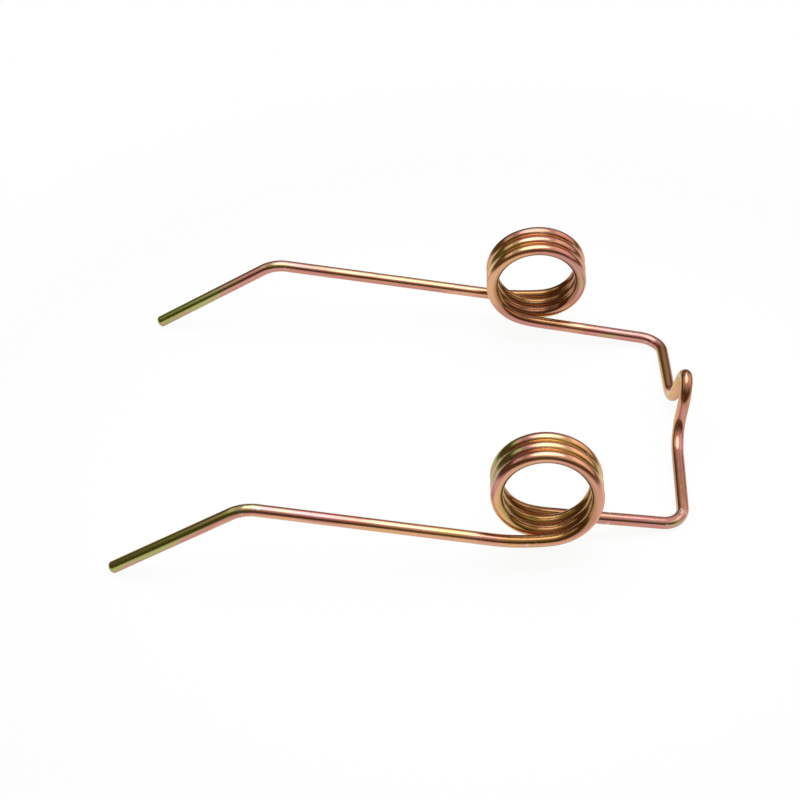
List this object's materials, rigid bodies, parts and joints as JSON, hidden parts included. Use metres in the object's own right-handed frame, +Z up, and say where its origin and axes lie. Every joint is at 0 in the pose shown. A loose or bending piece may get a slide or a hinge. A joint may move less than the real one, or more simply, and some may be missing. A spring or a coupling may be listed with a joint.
{
  "type": "double torsion spring",
  "caption": "Double torsion spring bent from one round steel wire, with twin coils, long legs with bent-down tips, and a bridge with a raised hump between the arms.",
  "frame": {"origin": "middle of the length and of the width, on the plane that the spring rests on", "axes": "+X from the leg tips towards the bridge, +Y across, parallel to the bridge and nearly parallel to the coil axes, +Z up from the resting plane"},
  "size_m": [0.282, 0.195, 0.0654],
  "materials": {
    "zinc_wire": "smooth round spring wire with a glossy yellow passivated zinc plating"
  },
  "bodies": {
    "root": {"spring_wire": "zinc_wire"}
  },
  "joints": []
}
